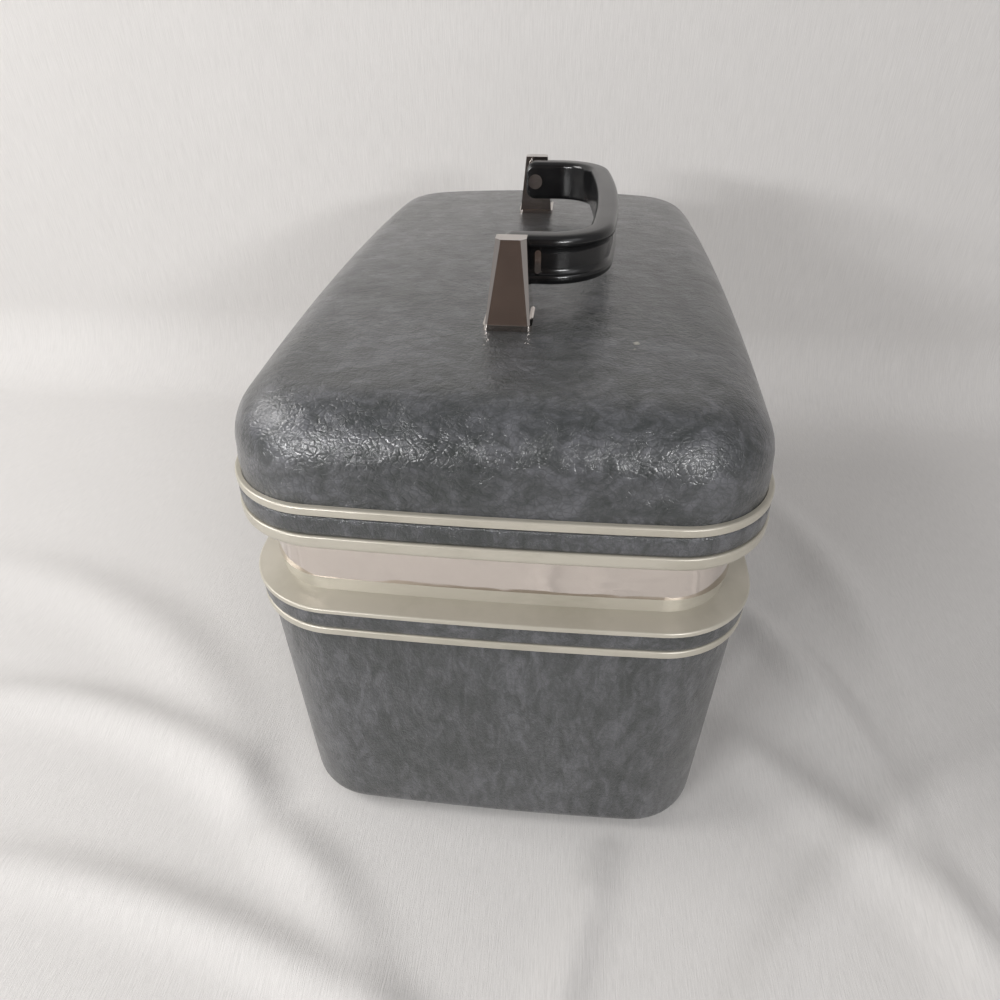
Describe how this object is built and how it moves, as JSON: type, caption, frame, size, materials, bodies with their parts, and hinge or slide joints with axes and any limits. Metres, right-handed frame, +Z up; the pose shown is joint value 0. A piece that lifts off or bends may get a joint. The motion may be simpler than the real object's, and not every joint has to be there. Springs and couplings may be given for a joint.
{
  "type": "makeup storage case with handle",
  "caption": "Hard-sided vanity case with a deep tub, hinged lid, bright recessed band, folding handle on chrome posts, latches and a lift-out tray.",
  "frame": {"origin": "on the floor under the middle of the closed case", "axes": "+X along the case's length, -Y out of the front where the latches are, +Z up"},
  "size_m": [0.37, 0.228, 0.284],
  "materials": {
    "shell_vinyl": "grained charcoal vinyl over moulded board",
    "band_vinyl": "grained charcoal vinyl strip",
    "rim_enamel": "satin greige enamel on extruded rim",
    "polished_band": "mirror polished",
    "lining_cloth": "woven lining on board",
    "rail_board": "covered board",
    "tray_plastic": "moulded, satin",
    "foot_rubber": "moulded",
    "plain_steel": "plain drawn steel",
    "bright_chrome": "polished chrome plate",
    "plated_steel": "nickel plate",
    "grip_plastic": "black, half gloss",
    "frame_plastic": "moulded, satin",
    "mirror_glass": "silvered glass",
    "lock_brass": "nickel-washed brass"
  },
  "bodies": {
    "case": {"body_shell": "shell_vinyl", "body_band": "band_vinyl", "body_frame": "rim_enamel", "body_lining": "lining_cloth", "tray_rail_front": "rail_board", "tray_rail_back": "rail_board", "foot_1": "foot_rubber", "foot_2": "foot_rubber", "foot_3": "foot_rubber", "foot_4": "foot_rubber", "foot_nails": "plain_steel", "body_rivets": "plated_steel", "hinge_body_leaf_left": "plated_steel", "hinge_pin_left": "plain_steel", "latch_bracket_left": "plated_steel", "latch_pin_left": "plain_steel", "hinge_body_leaf_right": "plated_steel", "hinge_pin_right": "plain_steel", "latch_bracket_right": "plated_steel", "latch_pin_right": "plain_steel"},
    "lid": {"lid_shell": "shell_vinyl", "lid_band": "band_vinyl", "lid_frame": "rim_enamel", "lid_valance": "polished_band", "lid_lining": "lining_cloth", "mirror_frame": "frame_plastic", "mirror_glass": "mirror_glass", "lid_rivets": "plated_steel", "post_screws": "plain_steel", "handle_post_left": "bright_chrome", "post_foot_left": "bright_chrome", "post_backing_left": "plain_steel", "handle_pin_left": "bright_chrome", "handle_washer_left": "plain_steel", "hinge_lid_leaf_left": "plated_steel", "latch_striker_left": "plated_steel", "handle_post_right": "bright_chrome", "post_foot_right": "bright_chrome", "post_backing_right": "plain_steel", "handle_pin_right": "bright_chrome", "handle_washer_right": "plain_steel", "hinge_lid_leaf_right": "plated_steel", "latch_striker_right": "plated_steel"},
    "handle": {"handle_grip": "grip_plastic", "handle_core": "plain_steel", "handle_tip_left": "bright_chrome", "handle_tip_right": "bright_chrome"},
    "latch_left": {"latch_hasp_left": "plated_steel"},
    "latch_right": {"latch_hasp_right": "plated_steel", "lock_barrel": "lock_brass"},
    "lock": {"lock_plug": "lock_brass"},
    "tray": {"tray": "tray_plastic"}
  },
  "joints": [
    {"name": "lid_hinge", "type": "hinge", "parent": "case", "child": "lid", "pos_m": [0, 0.10705, 0.165], "axis": [-1, 0, 0], "range_deg": [0, 100]},
    {"name": "handle_pivot", "type": "hinge", "parent": "lid", "child": "handle", "pos_m": [0, 0, 0.2725], "axis": [-1, 0, 0], "range_deg": [0, 180]},
    {"name": "latch_left_hinge", "type": "hinge", "parent": "case", "child": "latch_left", "pos_m": [-0.075, -0.10781, 0.1623], "axis": [1, 0, 0], "range_deg": [-7, 75]},
    {"name": "latch_right_hinge", "type": "hinge", "parent": "case", "child": "latch_right", "pos_m": [0.075, -0.10781, 0.1623], "axis": [1, 0, 0], "range_deg": [-7, 75]},
    {"name": "lock_turn", "type": "hinge", "parent": "latch_right", "child": "lock", "pos_m": [0.075, -0.11224, 0.17133], "axis": [0, -0.9925, -0.1219], "range_deg": [0, 90]},
    {"name": "tray_lift", "type": "slide", "parent": "case", "child": "tray", "axis": [0, 0, 1], "range_m": [0, 0.06]}
  ]
}
